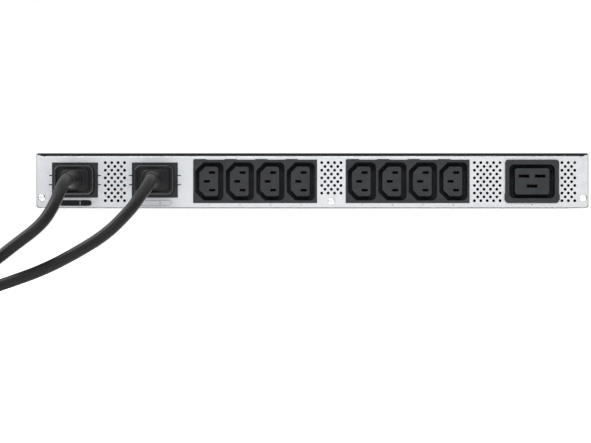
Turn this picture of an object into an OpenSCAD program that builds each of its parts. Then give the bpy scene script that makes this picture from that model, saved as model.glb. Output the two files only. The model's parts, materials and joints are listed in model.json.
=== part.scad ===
// Rack transfer switch, one rack unit high, seen from its socket side at -Y.
// Millimetres. X runs across the unit, Y from the socket face to the display
// face, Z up. The origin is the middle of the left bracket's screw pattern.

/* [Chassis] */
// Width over the side walls
chassis_w = 440; // [436:1:446]
// Height from the underside to the top of the cover
chassis_h = 43.5; // [43:0.1:46]
// Depth from the socket face to the display face
chassis_d = 236; // [232:1:300]
// Thickness of the tray, socket panel and display panel sheets
sheet_t = 1; // [0.8:0.1:1.2]
// Thickness of the cover sheet
cover_t = 1.2; // [1:0.1:1.4]
// Outer radius of each sheet bend
bend_r = 2; // [1.6:0.1:2.6]
// How far the socket panel's edges stand inside the tray's edges
panel_inset = 0.5; // [0.3:0.1:1]
// Radius of the socket panel's lower corners
panel_corner_r = 2.5; // [1:0.1:4]
// Depth of the flange folded back along the socket panel's top
fold_depth = 9; // [6:0.5:12]
// Height of the cover's lip in front of the socket panel
lip_h = 1.6; // [1.5:0.1:2.2]
// Depth of the cover's side flanges below its top
cover_flange_h = 10; // [8:0.5:12]
// Width of the locating hooks under the cover's lip
hook_w = 3; // [2:0.1:4]
// Drop of the locating hooks below the lip
hook_drop = 1.3; // [0.8:0.1:1.8]
// Distance of each locating hook from the side of the unit
hook_edge = 6.2; // [5.5:0.1:8]

/* [Inlets and outlets] */
// Distance of inlet 1's centre from the side of the unit, as a share of its width
inlet_edge_share = 0.07; // [0.067:0.001:0.072]
// Distance between the two inlets, as a share of the unit's width
inlet_pitch_share = 0.1445; // [0.138:0.0005:0.146]
// Height of the inlet centres above the underside
inlet_z = 22.1; // [21:0.1:23]
// Width of an inlet's face
inlet_w = 36.4; // [36:0.1:37]
// Height of an inlet's face
inlet_h = 27.8; // [27:0.1:28.5]
// Depth of an inlet's housing
inlet_depth = 26; // [25:0.5:30]
// Depth of the recess in an inlet
inlet_recess = 20; // [18:0.5:21]
// Gap between inlet 2 and bank 1, as a share of the width that no socket takes
near_gap_share = 0.1955; // [0.18:0.0005:0.21]
// Gap between bank 2 and the large outlet, as a share of the same width
far_gap_share = 0.444; // [0.43:0.001:0.45]
// Height of the outlet centres above the underside
outlet_z = 21.1; // [20.5:0.1:21.5]
// Width of a bank's face
bank_w = 98.5; // [98:0.1:99]
// Height of a bank's face
bank_h = 34.4; // [34:0.1:35]
// Depth of a bank's housing behind the panel face
bank_depth = 24; // [22:0.5:28]
// Distance between neighbouring outlets in a bank
outlet_pitch = 24.3; // [24:0.1:24.4]
// Depth of the recess round an outlet's island
recess_depth = 16; // [15:0.5:17]
// How far the moulded faces stand out of the panel
face_proud = 0.6; // [0.4:0.1:1]
// Distance of the large outlet's centre from the side of the unit, as a share of its width
large_edge_share = 0.1023; // [0.1:0.0001:0.104]
// Width of the large outlet's bezel
large_w = 43; // [42:0.1:43.5]
// Height of the large outlet's bezel
large_h = 34.6; // [34:0.1:35]
// Depth of the large outlet's housing behind the panel face
large_depth = 28; // [26:0.5:32]
// How far the large outlet's bezel stands out of the panel
bezel_proud = 1.8; // [1.2:0.1:2.5]

/* [Vents] */
// Diameter of a vent hole
vent_d = 2.35; // [2:0.05:2.5]
// Distance between vent columns
vent_col = 5.1; // [4.9:0.05:5.2]
// Distance between vent rows
vent_row = 3.03; // [3:0.01:3.2]
// Height of the lowest vent row
vent_low = 5.7; // [5.5:0.1:6.5]
// Height that the top vent row may reach
vent_high = 36.3; // [36:0.1:37]
// Least distance from a vent centre to a socket face
vent_margin = 3.6; // [3.2:0.1:3.8]

/* [Fasteners] */
// Height of the two outer panel screws
side_screw_z = 7.9; // [7:0.1:9]
// Distance of the outer panel screws from the side of the unit
side_screw_edge = 4.5; // [4.4:0.1:5]
// Height of the middle panel screw
mid_screw_z = 5.3; // [4.8:0.1:5.6]
// Radius of the panel screw heads
pan_head_r = 2.75; // [2.5:0.05:3]
// Height of the panel screw heads
pan_head_h = 1.8; // [1.4:0.1:2.4]
// Radius of all small screw shanks
screw_r = 1.4; // [1.2:0.05:1.45]
// Radius of the bracket screw holes
bracket_hole_r = 2.15; // [2.1:0.05:2.3]
// Distance of the bracket pattern's middle from the display face
bracket_setback = 42; // [38:1:50]
// Height of the bracket pattern's middle
bracket_z = 18; // [17:0.5:19]
// Front to back distance between bracket holes
bracket_span_y = 30; // [24:1:34]
// Vertical distance between bracket holes
bracket_span_z = 18; // [14:1:20]

/* [Power board] */
// Thickness of the circuit boards
board_t = 1.6; // [1.2:0.1:2]
// Height of the standoffs under the boards
standoff_h = 6; // [5:0.5:8]
// Distance of the power board from the left side of the unit
power_edge = 16; // [14:1:20]
// Width of the power board
power_w = 268; // [266:1:272]
// Distance of both boards from the socket face
board_y = 46; // [44:1:50]
// Depth of the power board
power_d = 152; // [150:1:158]
// Width of a heatsink
sink_w = 96; // [90:1:100]
// Depth of a heatsink
sink_d = 70; // [66:1:76]
// Height of a thyristor module
module_h = 12; // [11:0.5:13]
// Height of a heatsink with its fins
sink_h = 16; // [14:0.5:18]
// Number of fins on a heatsink
sink_fins = 12; // [8:1:14]

/* [Display side] */
// Width of the display window
window_w = 62; // [58:1:66]
// Height of the display window
window_h = 17; // [15:1:20]
// Radius of a push button's cap
button_r = 3.2; // [2.8:0.1:3.6]
// How far a button stands out of the display panel
button_proud = 1.2; // [1:0.1:1.8]
// Travel of a button
button_travel = 0.8; // [0.5:0.1:1]
// Distance between push buttons
button_pitch = 12; // [11:0.5:13]

/* [Mains cords] */
// Diameter of each cord
cord_d = 9.5; // [9:0.1:10]
// Width of the plug body in an inlet
plug_w = 30; // [29.6:0.1:30.2]
// Height of the plug body in an inlet
plug_h = 23; // [22.6:0.1:23.2]
// How far the plug body stands out of the unit
plug_out = 33; // [30:0.5:34]
// Length of the flexible relief on a plug
relief_len = 26; // [22:0.5:27]
// Radius of the middle of the coiled turns
coil_r = 52.25; // [51:0.25:54]
// Width of the strap round a coil
tie_w = 16; // [12:1:20]

/* [Hidden] */

$fn = 32;
fit_gap = 0.15;             // between a moulding and its cut-out
seat_gap = 0.3;             // between pieces that only rest near each other
half_w = chassis_w / 2;
wall_top = chassis_h - 0.3; // side walls stop just under the cover's top
cover_under = chassis_h - cover_t;
bracket_y = chassis_d - bracket_setback;
outlets_per_bank = 4;
slot_mouth = 3;             // depth of the narrow mouth of a contact slot
nest_gap = 0.15;            // between the cover and the tray's walls
inlet_1_x = -half_w + inlet_edge_share * chassis_w;
inlet_x = [inlet_1_x, inlet_1_x + inlet_pitch_share * chassis_w];
large_x = half_w - large_edge_share * chassis_w;
banks_left = inlet_x[1] + inlet_w / 2;
banks_right = large_x - large_w / 2;
free_w = banks_right - banks_left - 2 * bank_w;
bank_x = [
    banks_left + near_gap_share * free_w + bank_w / 2,
    banks_right - far_gap_share * free_w - bank_w / 2];
bank_mid_x = (bank_x[0] + bank_x[1]) / 2;
bank_gap = bank_x[1] - bank_x[0] - bank_w;
screw_x = half_w - side_screw_edge;
fold_half_w = half_w - sheet_t - nest_gap - bend_r - fit_gap;
tapped_r = screw_r + 0.05;
clearance_r = screw_r + 0.3;
screw_slot_r = 1.9;         // half width of the side screws' slots
screw_slot_out = 1.5;       // how far those slots run outwards
tab_w = 7.5;                // width of the tray's side tabs
tab_top = 13;               // top of the tray's side tabs
tab_over_screw = 4;         // how far the tray's middle tab stands above its screw
vent_screw_gap = 1.3;       // metal between the last vents and a screw head
vent_end_margin = 2.2;      // least margin of the last vent field
relief_w = 2.4;             // length of the slots beside an inlet
relief_h = 0.9;             // height of those slots
relief_span = 7.3;          // distance between those slots
shoulder = 1.2;             // how far a housing's shoulder stands out behind the panel
shoulder_t = 2;             // thickness of that shoulder
pin_w = 8;                  // width of a large contact blade
pin_t = 2;                  // thickness of a large contact blade
pin_half_pitch = 6.5;       // half the distance between the two live blades
pin_up = 4.2;               // height of the live blades above the socket's middle
pin_down = 3.8;             // drop of the earth blade below the socket's middle
tail_w = 6.3;               // width of a contact's rear tab
tail_t = 0.8;               // thickness of a contact's rear tab
tail_len = 8;               // length of a contact's rear tab
contact_gap = 0.1;          // round a contact blade in its slot
small_pitch = 14;           // distance between the live slots of a small outlet
mid_tab_w = 0.58 * (bank_gap - 2 * shoulder);

// The unit's own frame starts at the middle of the socket panel's lower edge.
module rack_frame() translate([half_w, -bracket_y, -bracket_z]) children();

// Extrudes a shape drawn in X and Z from one depth to another.
module along_y(from, to) translate([0, to, 0])
    rotate([90, 0, 0]) linear_extrude(to - from) children();

// Extrudes a shape drawn in Y and Z across the unit, half_len each way.
module along_x(half_len) translate([-half_len, 0, 0])
    rotate([90, 0, 90]) linear_extrude(2 * half_len) children();

module rounded_rect(w, h, r) {
    square([w - 2 * r, h], center = true);
    square([w, h - 2 * r], center = true);
    for (sx = [-1, 1], sy = [-1, 1]) translate([sx * (w / 2 - r), sy * (h / 2 - r)]) circle(r);
}

// Outline of a trough: square top corners, round lower corners.
module trough(w, h, r) {
    translate([-w / 2, r]) square([w, h - r]);
    translate([-w / 2 + r, 0]) square([w - 2 * r, r]);
    for (sx = [-1, 1]) translate([sx * (w / 2 - r), r]) circle(r);
}

// A folded sheet of a trough's section.
module folded(w, h, r, t) difference() {
    trough(w, h, r);
    translate([0, t]) trough(w - 2 * t, h, r - t);
}

// A small outlet's outline: two cut corners on the left, two round on the right.
module keyed(w, h, cut, r) {
    polygon([[-w / 2 + cut, h / 2], [w / 2 - r, h / 2], [w / 2, h / 2 - r], [w / 2, r - h / 2],
        [w / 2 - r, -h / 2], [-w / 2 + cut, -h / 2], [-w / 2, cut - h / 2], [-w / 2, h / 2 - cut]]);
    for (sy = [-1, 1]) translate([w / 2 - r, sy * (h / 2 - r)]) circle(r);
}

// Places a child at the three blades of a large socket.
module at_blades() {
    for (sx = [-1, 1]) translate([sx * pin_half_pitch, 0, pin_up]) children();
    translate([0, 0, -pin_down]) children();
}

module box_y(w, h, from, to) along_y(from, to) square([w, h], center = true);

module screw_holes_x(y, z, r) for (sx = [-1, 1])
    translate([sx * half_w, y, z]) rotate([0, 90, 0]) cylinder(h = 8 * sheet_t, r = r, center = true);

// ---- enclosure ----

cover_screw_rear = 30;      // distance of the first cover screw from the socket face
cover_screw_front = 60;     // distance of the last cover screw from the display face
cover_screw_span = chassis_d - cover_screw_rear - cover_screw_front;
cover_screw_y = [for (i = [0 : 2]) cover_screw_rear + i * cover_screw_span / 2];
cover_screw_z = chassis_h - cover_flange_h / 2 - cover_t / 2;
front_screw_inset = 8;      // distance of the display panel's screws from its face
front_screw_y = chassis_d - front_screw_inset;
front_screw_z = 24;
flush_head_r = 2.6;         // radius of a countersunk head
flush_len = 5;              // length of a countersunk screw
flush_drive_w = 0.7;        // width of its cross
flush_drive_len = 3.2;      // length of its cross
flush_drive_depth = 0.6;    // depth of its cross

module countersinks() for (sx = [-1, 1]) {
    for (y = cover_screw_y) translate([sx * half_w, y, cover_screw_z]) countersink(sx);
    translate([sx * half_w, front_screw_y, front_screw_z]) countersink(sx);
}

module countersink(sx) rotate([0, sx * -90, 0]) translate([0, 0, -0.01])
    cylinder(h = sheet_t + 0.02, r1 = flush_head_r + 0.1, r2 = clearance_r);

mid_tab_top = mid_screw_z + tab_over_screw;

// A sheet tab behind the socket panel, standing on the tray's floor.
module tray_tab(x, w, low, top) translate([x, 0, (low + top) / 2])
    box_y(w, top - low, sheet_t, 2 * sheet_t);

module base_tray() color("#b9bfc4") rack_frame() difference() {
    union() {
        along_y(sheet_t, chassis_d - sheet_t) folded(chassis_w, wall_top, bend_r, sheet_t);
        for (sx = [-1, 1]) tray_tab(sx * (half_w - sheet_t / 2 - tab_w / 2), tab_w, bend_r, tab_top);
        tray_tab(bank_mid_x, mid_tab_w, sheet_t / 2, mid_tab_top);
    }
    for (sx = [-1, 1]) translate([sx * screw_x, 0, side_screw_z]) along_y(0, 3 * sheet_t) circle(tapped_r);
    translate([bank_mid_x, 0, mid_screw_z]) along_y(0, 3 * sheet_t) circle(tapped_r);
    for (sy = [-1, 1], sz = [-1, 1]) screw_holes_x(
        bracket_y + sy * bracket_span_y / 2, bracket_z + sz * bracket_span_z / 2, bracket_hole_r);
    countersinks();
}

// One field of staggered holes between two edges; odd rows have one hole fewer.
module vent_field(left, right, margin, first_row) {
    cols = floor((right - left - 2 * margin) / vent_col) + 1;
    rows = floor((vent_high - vent_low) / vent_row) + 1;
    for (row = [first_row : rows - 1]) {
        count = cols - row % 2;
        if (count > 0) for (i = [0 : count - 1]) translate([
            (left + right) / 2 + (i - (count - 1) / 2) * vent_col,
            vent_low + row * vent_row
        ]) circle(vent_d / 2);
    }
}

// The first row, an even one, that clears the middle screw's head
mid_screw_top = mid_screw_z + pan_head_r + vent_d / 2 + 1;
mid_first_row = 2 * ceil((mid_screw_top - vent_low) / vent_row / 2);

module vents() {
    vent_field(inlet_x[0] + inlet_w / 2, inlet_x[1] - inlet_w / 2, vent_margin, 0);
    vent_field(bank_x[0] + bank_w / 2, bank_x[1] - bank_w / 2, vent_margin, mid_first_row);
    vent_field(bank_x[1] + bank_w / 2, large_x - large_w / 2, vent_margin, 0);
    vent_field(large_x + large_w / 2, screw_x - pan_head_r - vent_screw_gap, vent_end_margin, 0);
}

bezel_lap = 2;              // how far the large bezel laps over its cut-out
large_body_w = large_w - 2 * bezel_lap;
large_body_h = large_h - 2 * bezel_lap;

module panel_cutouts() {
    for (x = inlet_x) translate([x, inlet_z]) {
        square([inlet_w + 2 * fit_gap, inlet_h + 2 * fit_gap], center = true);
        for (sz = [-1, 1]) translate([0, sz * relief_span / 2])
            square([inlet_w + 2 * relief_w, relief_h], center = true);
    }
    for (x = bank_x) translate([x, outlet_z])
        square([bank_w + 2 * fit_gap, bank_h + 2 * fit_gap], center = true);
    translate([large_x, outlet_z])
        square([large_body_w + 2 * fit_gap, large_body_h + 2 * fit_gap], center = true);
    for (sx = [-1, 1]) translate([sx * screw_x, side_screw_z]) {
        circle(screw_slot_r);
        translate([sx * screw_slot_out, 0]) circle(screw_slot_r);
        translate([sx * screw_slot_out / 2, 0]) square([screw_slot_out, 2 * screw_slot_r], center = true);
    }
    translate([bank_mid_x, mid_screw_z]) circle(clearance_r);
}

panel_half_w = half_w - panel_inset;
fold_low = cover_under - bend_r;            // where the panel's top bend begins
panel_ear_w = panel_half_w - fold_half_w;   // flat ends beside the bend

module socket_panel() color("#c9ced3") rack_frame() {
    along_y(0, sheet_t) difference() {
        union() {
            translate([0, panel_inset]) trough(2 * panel_half_w, fold_low - panel_inset, panel_corner_r);
            for (sx = [-1, 1])
                translate([sx * (panel_half_w - panel_ear_w / 2), fold_low + bend_r / 2 - fit_gap])
                    square([panel_ear_w, bend_r], center = true);
        }
        panel_cutouts();
        vents();
    }
    along_x(fold_half_w) {
        translate([bend_r, cover_under - sheet_t]) square([fold_depth - bend_r, sheet_t]);
        translate([bend_r, fold_low]) intersection() {
            difference() {
                circle(bend_r);
                circle(bend_r - sheet_t);
            }
            translate([-bend_r, 0]) square(bend_r);
        }
    }
}

cover_w = chassis_w - 2 * (sheet_t + nest_gap);

module top_cover() color("#1b1b1d") rack_frame() difference() {
    union() {
        along_y(0, chassis_d - sheet_t - fit_gap) translate([0, chassis_h]) mirror([0, 1])
            folded(cover_w, cover_flange_h, bend_r, cover_t);
        along_x(cover_w / 2) {
            translate([-cover_t, chassis_h - lip_h]) square([cover_t, lip_h - cover_t]);
            translate([0, chassis_h - cover_t]) intersection() {
                circle(cover_t);
                translate([-cover_t, 0]) square(cover_t);
            }
        }
        for (sx = [-1, 1]) translate([sx * (half_w - hook_edge), 0, chassis_h - lip_h])
            along_y(-cover_t, 0) polygon([[-hook_w / 2, 0.1], [hook_w / 2, 0.1], [0, -hook_drop]]);
    }
    // The cover's side flanges start behind the socket panel
    translate([-half_w, 0, 0]) cube([chassis_w, sheet_t + fit_gap, cover_under]);
    for (y = cover_screw_y) screw_holes_x(y, cover_screw_z, tapped_r);
}

// ---- display side ----

window_x = -44;
first_button_x = 8;
button_x = [for (i = [0 : 3]) first_button_x + i * button_pitch];
button_z = chassis_h / 2;
first_pipe_x = -178;
pipe_pitch = 14;
pipe_x = [for (i = [0 : 5]) first_pipe_x + i * pipe_pitch];
pipe_r = 1.4;
pipe_proud = 0.4;           // how far a light pipe stands out of the panel
pipe_flange = 1;            // how far its foot stands out round it
stud_edge = 14;             // distance of the outer studs from the lights and buttons
stud_x = [first_pipe_x - stud_edge, window_x - window_w / 2 - stud_edge - 3, button_x[3] + stud_edge - 6];
stud_r = 2;
jack_w = 16;
jack_h = 13.4;
jack_x = 100;
front_flange_len = 14;
front_flange_low = 5;
front_flange_top = chassis_h - cover_flange_h - 1.5 * sheet_t;
board_gap = 7;              // between the display panel and its board
display_board_h = 26;
display_board_edge = 5;     // how far the display board reaches past its outer studs
panel_back = chassis_d - sheet_t;
board_top = sheet_t + standoff_h + board_t;
window_t = 1.4;
window_lap = 2;             // how far the window's flange laps behind the panel
module_lap = 4;             // how far the display module reaches past the window
switch_w = 6;
switch_h = 3.4;
button_flange_t = 1;
button_flange_r = button_r + 1;
button_rest_gap = 0.1;      // between a button's flange and the panel
button_stem_r = 1.5;

module display_panel() color("#202124") rack_frame() {
    along_y(panel_back, chassis_d) difference() {
        translate([0, chassis_h / 2]) rounded_rect(chassis_w, chassis_h, bend_r / 2);
        translate([window_x, button_z])
            square([window_w + 2 * fit_gap, window_h + 2 * fit_gap], center = true);
        for (x = button_x) translate([x, button_z]) circle(button_r + fit_gap);
        for (x = pipe_x) translate([x, button_z]) circle(pipe_r + fit_gap);
        translate([jack_x, board_top + jack_h / 2])
            square([jack_w + 2 * fit_gap, jack_h + 2 * fit_gap], center = true);
    }
    for (x = stud_x) translate([x, 0, button_z])
        along_y(panel_back - board_gap, panel_back + 0.01) circle(stud_r);
    flange_h = front_flange_top - front_flange_low;
    difference() {
        for (sx = [-1, 1])
            translate([sx * (half_w - nest_gap - 1.5 * sheet_t), 0, front_flange_low + flange_h / 2])
                box_y(sheet_t, flange_h, panel_back - front_flange_len, panel_back + 0.01);
        screw_holes_x(front_screw_y, front_screw_z, tapped_r);
    }
}

module display_board() color("#1d5c38") rack_frame() {
    board_w = stud_x[2] - stud_x[0] + 2 * display_board_edge;
    translate([(stud_x[0] + stud_x[2]) / 2, 0, button_z])
        box_y(board_w, display_board_h, panel_back - board_gap - board_t, panel_back - board_gap);
    // The switch under each button
    for (x = button_x) translate([x, 0, button_z])
        box_y(switch_w, switch_w, panel_back - board_gap - 0.01, panel_back - board_gap + switch_h);
}

module display_module() color("#3a3f45") rack_frame() translate([window_x, 0, button_z])
    box_y(window_w + 2 * module_lap, window_h + 2 * module_lap,
        panel_back - board_gap, panel_back - window_t);

module display_window() color("#2c3a44") rack_frame() translate([window_x, 0, button_z]) {
    box_y(window_w + 2 * window_lap, window_h + 2 * window_lap, panel_back - window_t, panel_back);
    box_y(window_w, window_h, panel_back - 0.01, chassis_d);
}

module light_pipes() color("#d8e0e0") rack_frame() for (x = pipe_x) translate([x, 0, button_z]) {
    along_y(panel_back - board_gap, panel_back - window_t) circle(pipe_r + pipe_flange);
    along_y(panel_back - window_t - 0.01, chassis_d + pipe_proud) circle(pipe_r);
}

// A button's cap, its retaining flange and the stem over its switch.
module button(i) color("#3b3d40") rack_frame() translate([button_x[i], 0, button_z]) {
    flange_y = panel_back - button_rest_gap;
    stem_y = panel_back - board_gap + switch_h + button_travel + button_rest_gap;
    along_y(flange_y - button_flange_t, flange_y) circle(button_flange_r);
    along_y(flange_y - 0.1, chassis_d + button_proud) circle(button_r);
    along_y(stem_y, flange_y - button_flange_t + 0.1) circle(button_stem_r);
}

module button_1() button(0);
module button_2() button(1);
module button_3() button(2);
module button_4() button(3);

// ---- inlets and outlets ----

plug_r = 4.5;
recess_gap = 0.4;           // between a plug and the recess round it
pin_reach = 16;             // how far the pins stand up from an inlet's floor

module inlet_housing(i) color("#1f2022") rack_frame() translate([inlet_x[i], 0, inlet_z]) difference() {
    union() {
        box_y(inlet_w, inlet_h, -face_proud / 2, inlet_depth);
        box_y(inlet_w + 2 * shoulder, inlet_h + 2 * shoulder, sheet_t, sheet_t + shoulder_t);
    }
    along_y(-1, inlet_recess)
        rounded_rect(plug_w + 2 * recess_gap, plug_h + 2 * recess_gap, plug_r + recess_gap);
    at_blades() box_y(pin_w + contact_gap, pin_t + contact_gap, inlet_recess - 1, inlet_depth + 1);
}

module inlet_pins(i) color("#c8a24a") rack_frame() translate([inlet_x[i], 0, inlet_z]) at_blades() {
    box_y(pin_w, pin_t, inlet_recess - pin_reach, inlet_depth);
    box_y(tail_w, tail_t, inlet_depth - 0.01, inlet_depth + tail_len);
}

module inlet_1_housing() inlet_housing(0);
module inlet_2_housing() inlet_housing(1);
module inlet_1_pins() inlet_pins(0);
module inlet_2_pins() inlet_pins(1);

outlet_x = [for (i = [0 : outlets_per_bank - 1]) (i - (outlets_per_bank - 1) / 2) * outlet_pitch];
island_shift = -0.5;        // the island stands slightly left in its recess
island_low = 0.3;           // how far the island stays behind the face
slot_w = 5.2;
slot_h = 2.1;
live_slot_x = 2.7;          // from the island's middle to the live slots
earth_slot_x = -1.6;        // from the island's middle to the earth slot
cavity_w = 7;
cavity_h = 4;
cavity_gap = 0.3;           // between a contact's box and its cavity, both sides together
grip_w = 4.2;               // the space inside a small contact
grip_h = 2.2;
lug_w = 9.9;
lug_h = 1.2;
recess_w = 22.3;
recess_h = 30.3;
recess_cut = 6.6;           // size of the recess's cut corners
recess_r = 4;
rim_bevel = 0.4;            // how far the recess's rim is wider, and how deep
island_w = 14.9;
island_h = 23.5;
island_cut = 4.8;
island_r = 2;

// Places a child at the three slots of a small outlet's island.
module at_small_slots() {
    for (sz = [-1, 1]) translate([island_shift + live_slot_x, 0, sz * small_pitch / 2]) children();
    translate([island_shift + earth_slot_x, 0, 0]) children();
}

module small_recess() {
    along_y(-face_proud - 1, recess_depth) keyed(recess_w, recess_h, recess_cut, recess_r);
    along_y(-face_proud - 1, -face_proud + rim_bevel) keyed(
        recess_w + 2 * rim_bevel, recess_h + 2 * rim_bevel, recess_cut + rim_bevel, recess_r + rim_bevel);
}

module small_island() difference() {
    translate([island_shift, 0, 0]) along_y(island_low - face_proud, recess_depth + 0.1)
        keyed(island_w, island_h, island_cut, island_r);
    at_small_slots() {
        box_y(slot_w, slot_h, -2, slot_mouth + 0.1);
        box_y(cavity_w, cavity_h, slot_mouth, recess_depth + 1);
    }
}

module bank_housing(i) color("#2b2c2f") rack_frame() translate([bank_x[i], 0, outlet_z]) {
    difference() {
        union() {
            box_y(bank_w, bank_h, -face_proud, bank_depth);
            box_y(bank_w + 2 * shoulder, bank_h + 2 * shoulder, sheet_t, sheet_t + shoulder_t);
            // Snap lugs that hold the housing on the panel's face
            for (x = outlet_x, sz = [-1, 1])
                translate([x - outlet_pitch / 2 + lug_w / 2, 0, sz * bank_h / 2])
                    box_y(lug_w, 2 * lug_h, -face_proud, 0);
        }
        for (x = outlet_x) translate([x, 0, 0]) {
            small_recess();
            at_small_slots() box_y(cavity_w, cavity_h, recess_depth - 1, bank_depth + 1);
        }
    }
    for (x = outlet_x) translate([x, 0, 0]) small_island();
}

contact_back_t = 2;         // thickness of a contact's back wall

// A contact: a sprung box that grips the blade, with a flat tab behind.
module contact(inner_w, inner_h, outer_w, outer_h, to) {
    from = slot_mouth + seat_gap;
    difference() {
        box_y(outer_w, outer_h, from, to);
        box_y(inner_w, inner_h, from - 1, to - contact_back_t);
    }
    box_y(tail_w, tail_t, to - 0.01, to + tail_len);
}

module bank_contacts(i) color("#c8a24a") rack_frame() translate([bank_x[i], 0, outlet_z])
    for (x = outlet_x) translate([x, 0, 0]) at_small_slots()
        contact(grip_w, grip_h, cavity_w - cavity_gap, cavity_h - cavity_gap, bank_depth);

module bank_1_housing() bank_housing(0);
module bank_2_housing() bank_housing(1);
module bank_1_contacts() bank_contacts(0);
module bank_2_contacts() bank_contacts(1);

large_slot_w = 8.6;
large_slot_h = 3;
large_cavity_w = 10.6;
large_cavity_h = 5;
large_recess_w = 36.3;
large_recess_h = 27;
large_recess_r = 4;
large_island_w = 27.3;
large_island_h = 20.8;
large_island_r = 1.8;
bezel_r = 2.6;
ear_h = 5;                  // height of the ears on the large bezel's sides
ear_up = 2.2;               // height of the ears above the bezel's lower edge
ear_out = 0.5;              // how far the ears stand out
catch_h = 8;                // height of the catches behind the panel
catch_len = 5;              // depth of those catches

module large_body() {
    along_y(-bezel_proud, 0) {
        rounded_rect(large_w, large_h, bezel_r);
        translate([0, ear_up + ear_h / 2 - large_h / 2])
            square([large_w + 2 * ear_out, ear_h], center = true);
    }
    box_y(large_body_w, large_body_h, -0.1, large_depth);
    for (sx = [-1, 1]) translate([sx * large_body_w / 2, 0, 0])
        box_y(2 * shoulder, catch_h, sheet_t, sheet_t + catch_len);
}

module large_island() difference() {
    along_y(island_low - bezel_proud, recess_depth + 0.1)
        rounded_rect(large_island_w, large_island_h, large_island_r);
    at_blades() {
        box_y(large_slot_w, large_slot_h, -bezel_proud - 1, slot_mouth + 0.1);
        box_y(large_cavity_w, large_cavity_h, slot_mouth, recess_depth + 1);
    }
}

module large_outlet_housing() color("#2b2c2f") rack_frame() translate([large_x, 0, outlet_z]) {
    difference() {
        large_body();
        along_y(-bezel_proud - 1, recess_depth)
            rounded_rect(large_recess_w, large_recess_h, large_recess_r);
        at_blades() box_y(large_cavity_w, large_cavity_h, recess_depth - 1, large_depth + 1);
    }
    large_island();
}

module large_outlet_contacts() color("#c8a24a") rack_frame() translate([large_x, 0, outlet_z])
    at_blades() contact(pin_w + 2 * contact_gap, pin_t + 2 * contact_gap,
        large_cavity_w - cavity_gap, large_cavity_h - cavity_gap, large_depth);

// ---- fasteners ----

drive_w = 0.7;              // width of a pan head's cross
screw_turn = 25;            // how far the outer panel screws' crosses are turned

// A pan head screw that points along +Y, its head resting at Y = 0.
module pan_screw_y(head_r, head_h, length) {
    difference() {
        rotate([90, 0, 0]) rotate_extrude() pan_head_section(head_r, head_h);
        for (turn = [0, 90]) rotate([0, turn, 0])
            box_y(head_r * 1.1, drive_w, -head_h - 1, -head_h / 2);
    }
    along_y(-0.01, length) circle(screw_r);
}

// Half the section of a pan head: a flat top whose edge is a quarter round.
module pan_head_section(head_r, head_h) {
    round_r = head_h * 0.6;
    square([head_r, head_h - round_r]);
    square([head_r - round_r, head_h]);
    translate([head_r - round_r, head_h - round_r]) intersection() {
        circle(round_r);
        square(round_r);
    }
}

module panel_screws() color("#d4d6d8") rack_frame() {
    for (sx = [-1, 1]) translate([sx * screw_x, 0, side_screw_z]) rotate([0, screw_turn * sx, 0])
        pan_screw_y(pan_head_r, pan_head_h, 3 * sheet_t);
    translate([bank_mid_x, 0, mid_screw_z]) pan_screw_y(pan_head_r, pan_head_h, 3 * sheet_t);
}

// Countersunk screws in the side walls: three for the cover and one in front.
module cover_screws() color("#d4d6d8") rack_frame() for (sx = [-1, 1]) {
    for (y = cover_screw_y) translate([sx * half_w, y, cover_screw_z]) flush_screw(sx);
    translate([sx * half_w, front_screw_y, front_screw_z]) flush_screw(sx);
}

module flush_screw(sx) rotate([0, sx * -90, 0]) difference() {
    union() {
        cylinder(h = sheet_t, r1 = flush_head_r, r2 = screw_r + 0.2);
        cylinder(h = flush_len, r = screw_r);
    }
    for (turn = [0, 90]) rotate([0, 0, turn])
        cube([flush_drive_len, flush_drive_w, 2 * flush_drive_depth], center = true);
}

// ---- boards ----

power_x = -half_w + power_edge;             // left edge of the power board
power_mid_x = power_x + power_w / 2;
power_end = power_x + power_w;
boards_gap = 6;                             // between the two boards
control_x = power_end + boards_gap;         // left edge of the control board
control_edge = 14;                          // from the control board to the side of the unit
control_w = half_w - control_edge - control_x;
control_d = panel_back - 1 - board_y;
board_z = sheet_t + standoff_h;
insulator_t = 0.4;
insulator_lap = 2;                          // how far the film reaches past the power board
edge_inset = 7;                             // from a board's edge to its screws
standoff_r = 3;
board_head_r = 2.6;
board_head_h = 1.6;
chip_t = 1.5;
// Processor and interface chips: place on the control board and width
chips = [[24, 90, 16], [58, 96, 10], [84, 80, 12], [30, 124, 8]];

// Places a child at the screws along both long edges of a board.
module at_board_screws(x, w, d, columns) {
    step = (w - 2 * edge_inset) / (columns - 1);
    for (i = [0 : columns - 1], y = [board_y + edge_inset, board_y + d - edge_inset])
        translate([x + edge_inset + i * step, y, 0]) children();
}

module at_all_board_screws() {
    at_board_screws(power_x, power_w, power_d, 4) children();
    at_board_screws(control_x, control_w, control_d, 2) children();
}

module board(x, w, d, columns) translate([0, 0, board_z]) linear_extrude(board_t) difference() {
    translate([x, board_y]) square([w, d]);
    at_board_screws(x, w, d, columns) circle(clearance_r);
}

module standoff() difference() {
    cylinder(h = standoff_h, r = standoff_r, $fn = 6);
    translate([0, 0, 1]) cylinder(h = standoff_h, r = tapped_r);
}

module standoffs() color("#a9adb0") rack_frame()
    at_all_board_screws() translate([0, 0, sheet_t]) standoff();

module board_screws() color("#d4d6d8") rack_frame()
    at_all_board_screws() translate([0, 0, board_top]) rotate([-90, 0, 0])
        pan_screw_y(board_head_r, board_head_h, standoff_h - 1 + board_t);

module insulator_sheet() color("#e9e3c8") rack_frame()
    translate([0, 0, sheet_t]) linear_extrude(insulator_t) difference() {
        translate([power_x - insulator_lap, board_y - insulator_lap])
            square([power_w + 2 * insulator_lap, power_d + 2 * insulator_lap]);
        at_board_screws(power_x, power_w, power_d, 4) circle(standoff_r + seat_gap);
    }

module power_board() color("#1d5c38") rack_frame() board(power_x, power_w, power_d, 4);

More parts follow.
